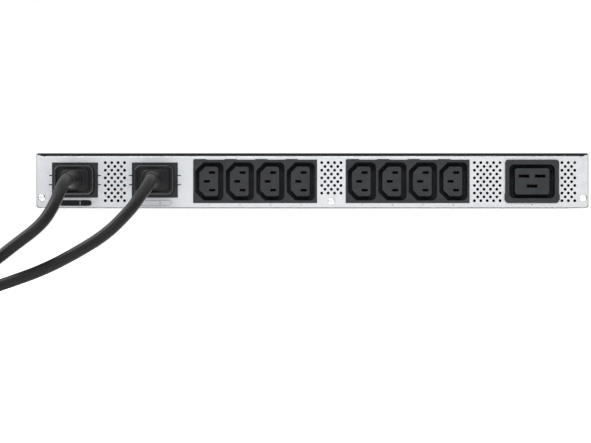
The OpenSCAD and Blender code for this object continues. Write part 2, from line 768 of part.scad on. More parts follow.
module control_board() color("#1d5c38") rack_frame() {
    board(control_x, control_w, control_d, 2);
    for (chip = chips)
        translate([control_x + chip[0], board_y + chip[1], board_top + chip_t / 2 - 0.05])
            cube([chip[2], chip[2], chip_t], center = true);
}

// ---- power parts ----

rear_row_y = board_y + 26;                  // middle of the parts nearest the sockets
sink_rear = 8;                              // from the board's rear edge to the heatsinks
sink_gap = 20;                              // between the two heatsinks
sink_y = board_y + power_d - sink_rear - sink_d / 2;
sink_half_pitch = (sink_w + sink_gap) / 2;
sink_x = [power_mid_x - sink_half_pitch, power_mid_x + sink_half_pitch];
sink_base = 4;
fin_t = 1.6;
module_w = 38;
module_d = 25;
module_r = 2;
module_base = 2.4;                          // height left whole above and below the waist
module_waist_w = 6;
module_notch_r = 2.2;

// A thyristor module with a moulded waist between its terminals and notched ends.
module thyristor(i) color("#e4e0d4") rack_frame()
    translate([sink_x[floor(i / 2)] + (i % 2 - 0.5) * sink_w / 2, sink_y, board_top]) difference() {
        linear_extrude(module_h) rounded_rect(module_w, module_d, module_r);
        translate([0, 0, module_base]) linear_extrude(module_h - 2 * module_base)
            square([module_waist_w, module_d + 1], center = true);
        for (sx = [-1, 1]) translate([sx * module_w / 2, 0, -1])
            cylinder(h = module_h + 2, r = module_notch_r);
    }

module thyristor_1() thyristor(0);
module thyristor_2() thyristor(1);
module thyristor_3() thyristor(2);
module thyristor_4() thyristor(3);

module heatsink_section() {
    fin_pitch = (sink_w - fin_t) / (sink_fins - 1);
    translate([-sink_w / 2, 0]) square([sink_w, sink_base]);
    for (fin = [0 : sink_fins - 1]) translate([fin * fin_pitch - sink_w / 2, 0]) square([fin_t, sink_h]);
}

module heatsink(i) color("#9ea3a8") rack_frame()
    translate([sink_x[i], sink_y + sink_d / 2, board_top + module_h])
        rotate([90, 0, 0]) linear_extrude(sink_d) heatsink_section();

module heatsink_1() heatsink(0);
module heatsink_2() heatsink(1);

// Where the parts in the rear row stand, as shares of the power board's width
capacitor_share = [0.08, 0.42];
choke_share = [0.187, 0.313];
relay_share = [0.537, 0.672];
sensor_share = 0.806;
choke_r = 10;
choke_wire_r = 4.5;
choke_base_t = 1.5;
choke_base_lap = 3;
choke_round = 3.2;
capacitor_size = [12, 32, 22];
relay_size = [30, 27, 24];
sensor_r = 12;
sensor_bore_r = 6;
sensor_t = 10;
sensor_foot_h = 3;

function on_power_board(share) = power_x + share * power_w;

// A toroid choke lying on a moulded base.
module choke(share) color("#b5652a") rack_frame() translate([on_power_board(share), rear_row_y, board_top]) {
    cylinder(h = choke_base_t, r = choke_r + choke_base_lap);
    translate([0, 0, choke_base_t - 0.2 + choke_wire_r]) rotate_extrude()
        translate([choke_r, 0]) rounded_rect(2 * choke_wire_r, 2 * choke_wire_r, choke_round);
}

module choke_1() choke(choke_share[0]);
module choke_2() choke(choke_share[1]);

// A box with round vertical edges that stands on the boards.
module part_box(x, size, r) translate([x, rear_row_y, board_top])
    linear_extrude(size[2]) rounded_rect(size[0], size[1], r);

module filter_capacitor(i) color("#d9b13b") rack_frame()
    part_box(on_power_board(capacitor_share[i]), capacitor_size, 1);

module relay(i) color("#2f3438") rack_frame() part_box(on_power_board(relay_share[i]), relay_size, 1);

module filter_capacitor_1() filter_capacitor(0);
module filter_capacitor_2() filter_capacitor(1);
module relay_1() relay(0);
module relay_2() relay(1);

// A ring round an output wire's place, on a foot.
module current_sensor() color("#2a4d7c") rack_frame()
    translate([on_power_board(sensor_share), rear_row_y, board_top]) {
        translate([0, 0, sensor_r]) difference() {
            along_y(-sensor_t / 2, sensor_t / 2) circle(sensor_r);
            along_y(-sensor_t, sensor_t) circle(sensor_bore_r);
        }
        translate([1 - sensor_r, -sensor_t / 2, 0]) cube([2 * sensor_r - 2, sensor_t, sensor_foot_h]);
    }

supply_x = control_x + 30;
bobbin_size = [34, 26, 6];
winding_size = [26, 30, 22];
core_window = [4, 40, 10];
core_window_x = 10;
core_window_z = 13;
supply_cap_x = supply_x + 30;
supply_cap_pitch = 16;
supply_cap_r = 6;
supply_cap_h = 20;

// A transformer on its bobbin, with windows through the core beside the winding.
module supply_transformer() color("#c9a227") rack_frame() difference() {
    union() {
        part_box(supply_x, bobbin_size, 1);
        part_box(supply_x, winding_size, 2);
    }
    for (sx = [-1, 1]) translate([supply_x + sx * core_window_x, rear_row_y, board_top + core_window_z])
        cube(core_window, center = true);
}

module supply_capacitors() color("#24364f") rack_frame() for (i = [0 : 2])
    translate([supply_cap_x + i * supply_cap_pitch, rear_row_y, board_top])
        cylinder(h = supply_cap_h, r = supply_cap_r);

jack_depth = 21;
jack_mouth_depth = 13;
jack_mouth_w = 11.8;
jack_mouth_h = 7.4;
latch_w = 5;
latch_h = 3;
latch_up = 4;               // height of the latch's slot above the mouth's middle

module network_jack() color("#8d9296") rack_frame()
    translate([jack_x, 0, board_top + jack_h / 2]) difference() {
        box_y(jack_w, jack_h, chassis_d - jack_depth, chassis_d);
        box_y(jack_mouth_w, jack_mouth_h, chassis_d - jack_mouth_depth, chassis_d + 1);
        translate([0, 0, latch_up]) box_y(latch_w, latch_h, chassis_d - jack_mouth_depth, chassis_d + 1);
    }

// ---- wiring ----

function unit(v) = v / norm(v);

// A round tube of polygon rings swept along points. The rings keep level sides.
module tube(points, d, sides) {
    last = len(points) - 1;
    tangents = [for (i = [0 : last]) unit(points[min(i + 1, last)] - points[max(i - 1, 0)])];
    rings = [for (i = [0 : last])
        let (side = abs(tangents[i].z) > 0.98 ? [1, 0, 0] : unit(cross(tangents[i], [0, 0, 1])),
             up = cross(side, tangents[i]))
        for (k = [0 : sides - 1])
            points[i] + d / 2 * (cos(360 * k / sides) * side + sin(360 * k / sides) * up)];
    walls = [for (i = [0 : last - 1], k = [0 : sides - 1])
        let (next = (k + 1) % sides)
        [i * sides + k, (i + 1) * sides + k, (i + 1) * sides + next, i * sides + next]];
    start_cap = [for (k = [0 : sides - 1]) k];
    end_cap = [for (k = [sides - 1 : -1 : 0]) last * sides + k];
    polyhedron(points = rings, faces = concat([start_cap], walls, [end_cap]), convexity = 6);
}

wire_d = 3;
wire_sides = 8;
inlet_tail = inlet_depth + tail_len;
bar_t = 1;
bar_h = 5;
bank_tail = bank_depth + tail_len;
large_tail = large_depth + tail_len;
wire_land_y = board_y + 2;                  // where the wires meet the power board
bank_wire_x = [-20, -34];                   // from each bank's middle to its middle wire
bank_wire_pitch = 7;
lane_y = large_tail + 6;                    // where the large outlet's wires run along the unit
lane_z = [23.5, 18, 28.5];                  // their heights: live, earth and neutral
lane_end = [6, 2, 10];                      // from the power board's end to where each one lands

// A wire from the back of a blade down to the power board.
module board_wire(x, from_y, z) {
    drop = z - board_top;
    run = wire_land_y - from_y;
    tube([
        [x, from_y, z], [x, from_y + 0.2 * run, z], [x, from_y + 0.6 * run, z - 0.1 * drop],
        [x, from_y + 0.9 * run, z - 0.3 * drop], [x, wire_land_y, z - 0.6 * drop],
        [x, wire_land_y, board_top]], wire_d, wire_sides);
}

module input_wires() color("#7a4a2c") rack_frame() for (x = inlet_x, blade = [-1, 0, 1])
    board_wire(x + blade * pin_half_pitch, inlet_tail + seat_gap,
        inlet_z + (blade == 0 ? -pin_down : pin_up));

// Copper strips that join each row of tabs behind a bank.
module output_busbars() color("#b87333") rack_frame() for (x = bank_x, row = [-1, 0, 1]) {
    row_x = x + island_shift + (row == 0 ? earth_slot_x : live_slot_x);
    translate([row_x, 0, outlet_z + row * small_pitch / 2]) box_y(
        (outlets_per_bank - 1) * outlet_pitch + tail_w, bar_h, bank_tail, bank_tail + bar_t);
}

// A wire from the large outlet: it turns along the unit in a lane of its own and lands on
// the power board's end.
module lane_wire(blade) {
    x = large_x + blade * pin_half_pitch;
    z = outlet_z + (blade == 0 ? -pin_down : pin_up);
    from_y = large_tail + seat_gap;
    run_z = lane_z[blade + 1];
    end_x = power_end - lane_end[blade + 1];
    bend = lane_y - from_y;
    drop = run_z - board_top;
    tube([
        [x, from_y, z], [x, from_y + 0.3 * bend, z], [x - 0.2 * bend, from_y + 0.8 * bend, (z + run_z) / 2],
        [x - bend, lane_y, run_z], [end_x + 2 * bend, lane_y, run_z],
        [end_x + 0.8 * bend, lane_y + 0.1 * bend, run_z - 0.05 * drop],
        [end_x + 0.2 * bend, lane_y + 0.5 * bend, run_z - 0.2 * drop],
        [end_x, wire_land_y, run_z - 0.5 * drop], [end_x, wire_land_y, board_top]], wire_d, wire_sides);
}

// Wires from the busbars and the large outlet to the power board.
module output_wires() color("#33363a") rack_frame() for (row = [-1, 0, 1]) {
    for (i = [0, 1]) board_wire(bank_x[i] + bank_wire_x[i] + row * bank_wire_pitch,
        bank_tail + bar_t + seat_gap, outlet_z + row * small_pitch / 2);
    lane_wire(row);
}

// ---- mains cords ----

floor_z = -75;                              // what the cords lie on
lie_z = floor_z + cord_d / 2;               // middle of a cord that lies there
coil_layers = 3;
coil_turns_w = 2;                           // turns side by side in each layer
coil_centre = [[-335, -18], [-335, -162]];
coil_round = 3;
coil_h = coil_layers * cord_d;
coil_w = coil_turns_w * cord_d;
relief_r = 6.2;
cord_sides = 10;
// The inlet places that the routes below are drawn for; a cord moves with its inlet
route_x = [-189.2, -125.62];
route_z = 22.1;

module at_cord(i) rack_frame()
    translate([inlet_x[i] - route_x[i], 0, inlet_z - route_z]) children();

// Middle lines of the two leads, from the relief to where the coil starts.
lead_1 = [
    [-192.5, -59, 21.5], [-194, -70, 19], [-195.5, -81, 14.5], [-198, -90.5, 7],
    [-202, -98, -2], [-207.5, -103, -10.5], [-215, -106, -18], [-224, -106.5, -25],
    [-232.5, -106, -31.5], [-241.5, -104, -38.5], [-252, -101, -46], [-263, -98, -53.5],
    [-275, -93, -60], [-288, -88, -65.5], [-302.5, -82, -69], [-318, -77.5, lie_z]];
lead_2 = [
    [-126.5, -59, 22], [-127.5, -70, 19], [-130, -80.5, 14], [-134, -90, 8],
    [-139.5, -97.5, 0], [-146.5, -102.5, -8], [-155, -105.5, -16.5], [-164.5, -107, -24],
    [-175.5, -107, -31], [-187, -107, -37.5], [-199.5, -107, -44], [-213, -107, -50],
    [-226.5, -107, -55], [-241, -107, -60], [-256, -106.5, -65], [-272, -106, -68],
    [-288, -105.5, -69.5], [-304, -105, lie_z], [-320, -105, lie_z]];
// Middle lines of the short tails between each coil and its far plug.
tail_1 = [[-392, 6, -51.5], [-392, 16, -53], [-392, 26, -56], [-392, 37, -58.5]];
tail_2 = [[-392, -186, -51.5], [-392, -196, -53], [-392, -206, -56], [-392, -217, -58.5]];

module cord_1() color("#1c1c1e") at_cord(0) {
    tube(lead_1, cord_d, cord_sides);
    tube(tail_1, cord_d, cord_sides);
}

module cord_2() color("#1c1c1e") at_cord(1) {
    tube(lead_2, cord_d, cord_sides);
    tube(tail_2, cord_d, cord_sides);
}

// The outer shape of a coil: two turns wide and three turns high.
module coil(i) color("#1c1c1e") at_cord(i)
    translate([coil_centre[i].x, coil_centre[i].y, floor_z + coil_h / 2])
        rotate_extrude($fn = 64) translate([coil_r, 0]) rounded_rect(coil_w, coil_h, coil_round);

module cord_1_coil() coil(0);
module cord_2_coil() coil(1);

tie_t = 0.8;
tie_slack = 2;              // between the coil's sides and its strap
tie_r = 3.2;

module tie_section() difference() {
    rounded_rect(coil_w + 2 * (tie_slack + tie_t), coil_h + 2 * (seat_gap + tie_t), tie_r + tie_t);
    rounded_rect(coil_w + 2 * tie_slack, coil_h + 2 * seat_gap, tie_r);
}

// A strap round the turns of a coil, on its right side.
module tie(i) color("#303236") at_cord(i)
    translate([coil_centre[i].x + coil_r, coil_centre[i].y, floor_z + coil_h / 2])
        along_y(-tie_w / 2, tie_w / 2) tie_section();

module cord_1_tie() tie(0);
module cord_2_tie() tie(1);

boot_root = 3;              // how deep the boot is rooted in the plug
boot_ribs = 4;
boot_first_rib = 5;
boot_rib_pitch = 5;
boot_groove_w = 1.6;
boot_groove_in = 0.7;       // from the boot's largest radius to the grooves' floor

// A ribbed boot that tapers along -Y from the back of a plug.
module relief(pitch, yaw) rotate([pitch, 0, -yaw]) rotate([90, 0, 0]) difference() {
    union() {
        translate([0, 0, -boot_root]) cylinder(h = boot_root + 1.5, r = relief_r + 1.1);
        translate([0, 0, -boot_root])
            cylinder(h = relief_len + boot_root, r1 = relief_r + 0.4, r2 = cord_d / 2 + 0.5);
    }
    for (rib = [0 : boot_ribs - 1]) translate([0, 0, boot_first_rib + rib * boot_rib_pitch])
        rotate_extrude() translate([relief_r - boot_groove_in, 0]) square([boot_root, boot_groove_w]);
}

grip_fall = 6;              // length of the shoulders behind a plug's straight grip
grip_end_in = 4;            // how far the grip's back stands in from its sides
grip_end_down = 3.5;        // how far it stands in from its top and bottom

// The body of a moulded plug: a straight grip, then shoulders that fall to the boot.
module plug_grip(w, h, r, from, to) hull() {
    along_y(from + grip_fall, to) rounded_rect(w, h, r);
    along_y(from + grip_fall / 3, from + 2 * grip_fall / 3) rounded_rect(w - 2, h - 2, r - 0.5);
    along_y(from, from + 1) rounded_rect(w - 2 * grip_end_in, h - 2 * grip_end_down, r - 1);
}

module plug(i, pitch, yaw) color("#1c1c1e") rack_frame() translate([inlet_x[i], 0, inlet_z]) {
    difference() {
        plug_grip(plug_w, plug_h, plug_r, -plug_out, inlet_recess - 0.5);
        // Room round the inlet's pins
        at_blades() box_y(pin_w + 1, pin_t + 1, inlet_recess - pin_reach - 1, inlet_recess + 1);
    }
    translate([0, -plug_out, 0]) relief(pitch, yaw);
}

module plug_1() plug(0, 1.3, 7.2);
module plug_2() plug(1, 0, 2);

far_w = 36;
far_h = 29;
far_r = 6;
far_len = 46;
far_recess = 19;
far_x = -392;
far_plug_y = [63, -243];
far_root = 6;               // how deep the far pins are rooted in their plug
far_pin_back = 3;           // how far they stop behind its face

// Places a child at a far plug, its boot turned to its own coil.
module at_far_plug(i) at_cord(i)
    translate([far_x, far_plug_y[i], floor_z + far_h / 2]) rotate([0, 0, 180 * i]) children();

module far_plug(i) color("#1c1c1e") at_far_plug(i) {
    pins_from = far_len - far_recess - far_root;
    difference() {
        plug_grip(far_w, far_h, far_r, 0, far_len);
        along_y(far_len - far_recess, far_len + 1)
            rounded_rect(plug_w + 2 * recess_gap, plug_h + 2 * recess_gap, plug_r + recess_gap);
        at_blades() box_y(pin_w + contact_gap, pin_t + contact_gap, pins_from, far_len);
    }
    relief(0, 0);
}

module far_plug_pins(i) color("#c8a24a") at_far_plug(i) at_blades()
    box_y(pin_w, pin_t, far_len - far_recess - far_root, far_len - far_pin_back);

module far_plug_1() far_plug(0);
module far_plug_2() far_plug(1);
module far_plug_1_pins() far_plug_pins(0);
module far_plug_2_pins() far_plug_pins(1);

base_tray();
socket_panel();
top_cover();
display_panel();
inlet_1_housing();
inlet_2_housing();
inlet_1_pins();
inlet_2_pins();
bank_1_housing();
bank_2_housing();
bank_1_contacts();
bank_2_contacts();
large_outlet_housing();
large_outlet_contacts();
panel_screws();
cover_screws();
board_screws();
standoffs();
insulator_sheet();
power_board();
control_board();
heatsink_1();
heatsink_2();
thyristor_1();
thyristor_2();
thyristor_3();
thyristor_4();
choke_1();
choke_2();
filter_capacitor_1();
filter_capacitor_2();
relay_1();
relay_2();
current_sensor();
supply_transformer();
supply_capacitors();
input_wires();
output_wires();
output_busbars();
network_jack();
display_board();
display_module();
display_window();
light_pipes();
button_1();
button_2();
button_3();
button_4();
plug_1();
plug_2();
cord_1();
cord_2();
cord_1_coil();
cord_2_coil();
cord_1_tie();
cord_2_tie();
far_plug_1();
far_plug_2();
far_plug_1_pins();
far_plug_2_pins();
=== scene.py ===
"""Looks for the rack transfer switch: materials, cords, plugs, printed marks, camera and lights."""
import json
import math

import bmesh
import bpy
from mathutils import Matrix, Vector


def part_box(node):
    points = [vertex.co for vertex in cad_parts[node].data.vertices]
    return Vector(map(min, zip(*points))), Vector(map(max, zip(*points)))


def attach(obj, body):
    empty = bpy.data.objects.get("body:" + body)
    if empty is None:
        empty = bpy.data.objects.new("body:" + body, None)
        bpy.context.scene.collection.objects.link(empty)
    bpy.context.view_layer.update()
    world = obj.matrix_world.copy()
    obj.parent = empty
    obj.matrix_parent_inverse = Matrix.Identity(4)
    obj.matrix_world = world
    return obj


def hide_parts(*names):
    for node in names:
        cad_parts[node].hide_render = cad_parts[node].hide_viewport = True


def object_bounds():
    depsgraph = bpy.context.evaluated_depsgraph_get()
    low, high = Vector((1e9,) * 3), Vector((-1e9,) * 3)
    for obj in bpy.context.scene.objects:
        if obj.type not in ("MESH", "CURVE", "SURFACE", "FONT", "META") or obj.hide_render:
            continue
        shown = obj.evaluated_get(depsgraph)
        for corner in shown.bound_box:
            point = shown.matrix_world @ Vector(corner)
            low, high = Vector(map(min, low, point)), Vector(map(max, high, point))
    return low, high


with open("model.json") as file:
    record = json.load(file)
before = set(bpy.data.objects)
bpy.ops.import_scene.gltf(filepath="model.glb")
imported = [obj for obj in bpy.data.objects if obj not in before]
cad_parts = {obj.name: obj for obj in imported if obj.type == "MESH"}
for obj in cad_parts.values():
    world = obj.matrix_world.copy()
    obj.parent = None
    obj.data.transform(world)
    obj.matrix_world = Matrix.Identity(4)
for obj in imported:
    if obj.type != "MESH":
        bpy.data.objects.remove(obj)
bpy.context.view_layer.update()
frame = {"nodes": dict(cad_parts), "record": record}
MM = 0.001
UNIT = "unit"

# ---------------------------------------------------------------- places

TRAY_LOW, TRAY_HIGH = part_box("base_tray")
PANEL_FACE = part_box("socket_panel")[0].y
COVER_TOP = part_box("top_cover")[1].z
# The unit's own origin: the middle of the socket panel's face, level with the underside
ORIGIN = Vector(((TRAY_LOW.x + TRAY_HIGH.x) / 2, PANEL_FACE, TRAY_LOW.z))


def at(x, y, z):
    """A point given in millimetres from the unit's own origin."""
    return ORIGIN + Vector((x, y, z)) * MM


def middle(node):
    """The middle of a CAD node's box."""
    low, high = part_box(node)
    return (Vector(low) + Vector(high)) / 2


def link(obj):
    """Adds an object to the scene."""
    bpy.context.collection.objects.link(obj)
    return obj


# ---------------------------------------------------------------- camera

CAMERA_X, CAMERA_Z = -13.5, -10.9
CAMERA_DISTANCE = 3.0
VIEW_WIDTH = 0.471


def make_camera():
    """A level view from far behind the socket side, as wide as the unit's left cords need."""
    data = bpy.data.cameras.new("camera")
    data.sensor_width = 36
    data.lens = data.sensor_width * CAMERA_DISTANCE / VIEW_WIDTH
    data.clip_start, data.clip_end = 0.1, 30
    camera = link(bpy.data.objects.new("camera", data))
    camera.location = at(CAMERA_X, -CAMERA_DISTANCE / MM, CAMERA_Z)
    camera.rotation_euler = (math.pi / 2, 0, 0)
    bpy.context.scene.camera = camera


make_camera()

# ---------------------------------------------------------------- materials


# The part of a noise's range that is spread over a surface's range
NOISE_LOW, NOISE_HIGH = 0.3, 0.7


class Nodes:
    """A material's node tree with short ways to add and join nodes."""

    def __init__(self, name):
        self.material = bpy.data.materials.new(name)
        self.material.use_nodes = True
        self.tree = self.material.node_tree
        self.shader = self.tree.nodes["Principled BSDF"]
        self.place = self.add("ShaderNodeTexCoord").outputs["Object"]

    def add(self, kind, **values):
        node = self.tree.nodes.new(kind)
        for key, value in values.items():
            if key in node.inputs:
                node.inputs[key].default_value = value
            else:
                setattr(node, key, value)
        return node

    def join(self, source, target):
        self.tree.links.new(source, target)

    def stretched(self, scale):
        """The place on the object, scaled by its own amount on each axis."""
        mapping = self.add("ShaderNodeMapping")
        mapping.inputs["Scale"].default_value = scale
        self.join(self.place, mapping.inputs["Vector"])
        return mapping.outputs["Vector"]

    def noise(self, scale, detail=3.0, stretch=(1, 1, 1)):
        node = self.add("ShaderNodeTexNoise", Scale=scale, Detail=detail)
        self.join(self.stretched(stretch), node.inputs["Vector"])
        return node.outputs["Fac"]

    def span(self, source, low, high):
        """Maps the middle of a noise onto a range."""
        node = self.add("ShaderNodeMapRange")
        node.inputs["From Min"].default_value = NOISE_LOW
        node.inputs["From Max"].default_value = NOISE_HIGH
        node.inputs["To Min"].default_value = low
        node.inputs["To Max"].default_value = high
        self.join(source, node.inputs["Value"])
        return node.outputs["Result"]

    def tint(self, source, dark, light):
        """A colour between two, as the noise says."""
        node = self.add("ShaderNodeMix", data_type="RGBA")
        colours = [socket for socket in node.inputs if socket.type == "RGBA"]
        colours[0].default_value = (*dark, 1)
        colours[1].default_value = (*light, 1)
        self.join(source, node.inputs["Factor"])
        return next(socket for socket in node.outputs if socket.type == "RGBA")

    def bump(self, source, strength, depth):
        node = self.add("ShaderNodeBump", Strength=strength, Distance=depth)
        self.join(source, node.inputs["Height"])
        self.join(node.outputs["Normal"], self.shader.inputs["Normal"])


COLOUR_SPREAD = 0.12
GLOSS_SPREAD = 0.06
BROAD_SHARE = 1 / 14  # the broad noise's scale, as a share of the fine one's


def shaded(colour, factor):
    """A colour made darker or lighter."""
    return tuple(min(1, channel * factor) for channel in colour)


def grained(name, colour, roughness, grain, depth, metallic=0.0, **sockets):
    """A surface whose colour, gloss and height vary with one fine and one broad noise."""
    nodes = Nodes(name)
    fine = nodes.noise(grain, 4.0)
    broad = nodes.noise(grain * BROAD_SHARE, 2.0)
    dark, light = shaded(colour, 1 - COLOUR_SPREAD), shaded(colour, 1 + COLOUR_SPREAD)
    colours = nodes.tint(nodes.span(broad, 0, 1), dark, light)
    nodes.join(colours, nodes.shader.inputs["Base Color"])
    gloss = nodes.span(fine, roughness - GLOSS_SPREAD, roughness + GLOSS_SPREAD)
    nodes.join(gloss, nodes.shader.inputs["Roughness"])
    nodes.shader.inputs["Metallic"].default_value = metallic
    for key, value in sockets.items():
        nodes.shader.inputs[key.replace("_", " ")].default_value = value
    nodes.bump(fine, 0.35, depth)
    return nodes.material


def zinc_sheet(name, tone):
    """Zinc-coated sheet: faint rolled grain along the unit and broad, cloudy crystals."""
    nodes = Nodes(name)
    rolled = nodes.noise(900, 3.0, (0.06, 1, 1))
    crystals = nodes.add("ShaderNodeTexVoronoi", Scale=160)
    nodes.join(nodes.place, crystals.inputs["Vector"])
    clouds = nodes.noise(9, 3.0)
    colours = nodes.tint(
        nodes.span(clouds, 0, 1), shaded((0.53, 0.545, 0.57), tone), shaded((0.6, 0.61, 0.625), tone))
    nodes.join(colours, nodes.shader.inputs["Base Color"])
    nodes.join(nodes.span(crystals.outputs["Distance"], 0.36, 0.46), nodes.shader.inputs["Roughness"])
    nodes.shader.inputs["Metallic"].default_value = 0.75
    nodes.bump(rolled, 0.2, 0.00002)
    return nodes.material


# How much of the bright room moulded and painted pieces mirror
DULL = {"Specular_IOR_Level": 0.12}
SATIN = {"Specular_IOR_Level": 0.13}

MATERIALS = {
    "zinc_sheet": zinc_sheet("zinc sheet", 0.74),
    "black_paint": grained("black paint", (0.006, 0.006, 0.007), 0.5, 1500, 0.00003, **DULL),
    "socket_plastic": grained("socket plastic", (0.03, 0.031, 0.034), 0.5, 2200, 0.00002, **DULL),
    "plated_brass": grained("plated brass", (0.75, 0.7, 0.58), 0.28, 900, 0.00001, metallic=1.0),
    "screw_steel": grained("screw steel", (0.62, 0.63, 0.64), 0.22, 1200, 0.00001, metallic=1.0),
    "insulator_film": grained("insulator film", (0.75, 0.72, 0.58), 0.5, 700, 0.00001),
    "circuit_board": grained("circuit board", (0.02, 0.16, 0.07), 0.35, 500, 0.00002),
    "heatsink_aluminium": grained(
        "heatsink aluminium", (0.62, 0.63, 0.65), 0.38, 1500, 0.00002, metallic=0.9),
    "module_plastic": grained("module plastic", (0.7, 0.68, 0.6), 0.45, 1200, 0.00001),
    "copper": grained("copper", (0.66, 0.3, 0.16), 0.35, 900, 0.00002, metallic=0.9),
    "yellow_case": grained("yellow case", (0.62, 0.42, 0.05), 0.35, 900, 0.00001),
    "relay_case": grained("relay case", (0.02, 0.022, 0.026), 0.3, 900, 0.00001),
    "blue_case": grained("blue case", (0.02, 0.06, 0.2), 0.32, 900, 0.00001),
    "wire_sleeve": grained("wire sleeve", (0.06, 0.03, 0.02), 0.45, 900, 0.00001),
    "jack_shell": grained("jack shell", (0.6, 0.61, 0.63), 0.32, 1200, 0.00001, metallic=0.9),
    "window_lens": grained("window lens", (0.01, 0.014, 0.018), 0.12, 300, 0.000005, Coat_Weight=0.6),
    "pipe_lens": grained("pipe lens", (0.7, 0.74, 0.74), 0.2, 600, 0.000005),
    "button_plastic": grained("button plastic", (0.05, 0.051, 0.055), 0.4, 1800, 0.00002),
    "plug_rubber": grained("plug rubber", (0.007, 0.0067, 0.0075), 0.42, 1700, 0.00002, **SATIN),
    "cord_jacket": grained("cord jacket", (0.006, 0.0057, 0.006), 0.46, 1300, 0.00002, **SATIN),
    "tie_strap": grained("tie strap", (0.02, 0.02, 0.022), 0.8, 2500, 0.00015, Sheen_Weight=0.3),
}

# Pieces of a slot given darker copies as painted shade: the tray's raw edges, painted as a shaded outline
# round the panel, and the contacts, painted dark as in the shade of their slots
SHADED_TRAY_SHEET = zinc_sheet("shaded tray sheet", 0.26)
# Painted shade: a dark, half-metallic stand-in for the brass, so the contacts read as shaded deep in their
# slots
SHADED_CONTACT = grained("shaded contact", (0.05, 0.042, 0.03), 0.5, 900, 0.00001, metallic=0.5)
PAINTED_SHADE = {
    "base_tray": SHADED_TRAY_SHEET, "bank_1_contacts": SHADED_CONTACT, "bank_2_contacts": SHADED_CONTACT,
    "large_outlet_contacts": SHADED_CONTACT}


def place_piece(obj, slot, material=None):
    """Links a piece of the unit, with the material of a slot of the record or another."""
    link(obj)
    obj.data.materials.clear()
    obj.data.materials.append(material or MATERIALS[slot])
    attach(obj, UNIT)
    return obj


def dress_frame():
    """Every CAD node gets its slot's material, or its own darker one as painted shade."""
    slots = {row["node"]: row["material_slot"] for row in frame["record"]["subparts"]}
    for node, obj in frame["nodes"].items():
        for spot in obj.material_slots:
            spot.material = PAINTED_SHADE.get(node, MATERIALS[slots[node]])


dress_frame()

# ---------------------------------------------------------------- mesh helpers


def mesh_from(name, build, smooth=True):
    """A mesh made by a function that fills a bmesh."""
    mesh = bpy.data.meshes.new(name)
    work = bmesh.new()
    build(work)
    bmesh.ops.recalc_face_normals(work, faces=work.faces)
    work.to_mesh(mesh)
    work.free()
    for polygon in mesh.polygons:
        polygon.use_smooth = smooth
    return mesh


def rounded_ring(width, height, radius, steps=8):
    """Points round a rectangle with round corners, counter-clockwise, in X and Z."""
    points = []
    for sx, sz, start in ((1, 1, 0), (-1, 1, 90), (-1, -1, 180), (1, -1, 270)):
        for step in range(steps + 1):
            angle = math.radians(start + 90 * step / steps)
            points.append((
                sx * (width / 2 - radius) + radius * math.cos(angle),
                sz * (height / 2 - radius) + radius * math.sin(angle)))
    return points


def loft(work, rings):
    """Joins rings of equal point counts with quads and closes both ends."""
    rows = [[work.verts.new(point) for point in ring] for ring in rings]
    for row, after in zip(rows, rows[1:]):
        count = len(row)
        for k in range(count):
            work.faces.new((row[k], row[(k + 1) % count], after[(k + 1) % count], after[k]))
    work.faces.new(rows[0])
    work.faces.new(reversed(rows[-1]))


# ---------------------------------------------------------------- mains cords

CORD_D = 9.5
FLOOR_Z = -75
LIE_Z = FLOOR_Z + CORD_D / 2
COIL_R = 52.25
COIL_CENTRE = {1: (-335, -18), 2: (-335, -162)}
# Middle lines of the leads from the relief to the coil, and of the tails to the far plug
LEADS = {
    1: [(-192.5, -59, 21.5), (-194, -70, 19), (-195.5, -81, 14.5), (-198, -90.5, 7),
        (-202, -98, -2), (-207.5, -103, -10.5), (-215, -106, -18), (-224, -106.5, -25),
        (-232.5, -106, -31.5), (-241.5, -104, -38.5), (-252, -101, -46), (-263, -98, -53.5),
        (-275, -93, -60), (-288, -88, -65.5), (-302.5, -82, -69), (-318, -77.5, LIE_Z)],
    2: [(-126.5, -59, 22), (-127.5, -70, 19), (-130, -80.5, 14), (-134, -90, 8),
        (-139.5, -97.5, 0), (-146.5, -102.5, -8), (-155, -105.5, -16.5), (-164.5, -107, -24),
        (-175.5, -107, -31), (-187, -107, -37.5), (-199.5, -107, -44), (-213, -107, -50),
        (-226.5, -107, -55), (-241, -107, -60), (-256, -106.5, -65), (-272, -106, -68),
        (-288, -105.5, -69.5), (-304, -105, LIE_Z), (-320, -105, LIE_Z)],
}
TAILS = {
    1: [(-392, 6, -51.5), (-392, 16, -53), (-392, 26, -56), (-392, 37, -58.5)],
    2: [(-392, -186, -51.5), (-392, -196, -53), (-392, -206, -56), (-392, -217, -58.5)],
}
# Where each turn of a coil lies, in cord diameters out from the middle and up, and from which degree
OUT, IN = 0.5, -0.5
TURNS = [(0, OUT, 0.5), (360, IN, 0.5), (660, IN, 1.5), (960, OUT, 1.5), (1260, IN, 2.5), (1560, OUT, 2.5)]
SHIFT_DEGREES = 60
COIL_DEGREES = 1890
POINTS_PER_TURN = 16


def turn_place(degree):
    """How far out and how high a coil's cord lies after so many degrees."""
    level = max(k for k, turn in enumerate(TURNS) if turn[0] <= degree)
    start, out, up = TURNS[level]
    if level + 1 == len(TURNS) or degree <= TURNS[level + 1][0] - SHIFT_DEGREES:
        return out, up
    share = (degree - TURNS[level + 1][0] + SHIFT_DEGREES) / SHIFT_DEGREES
    next_out, next_up = TURNS[level + 1][1:]
    if out > next_out and next_up > up:
        # Up and over the inner turn, at one diameter from it
        angle = share * math.pi / 2
        return next_out + math.cos(angle), up + math.sin(angle)
    ease = share * share * (3 - 2 * share)
    return out + (next_out - out) * ease, up + (next_up - up) * ease


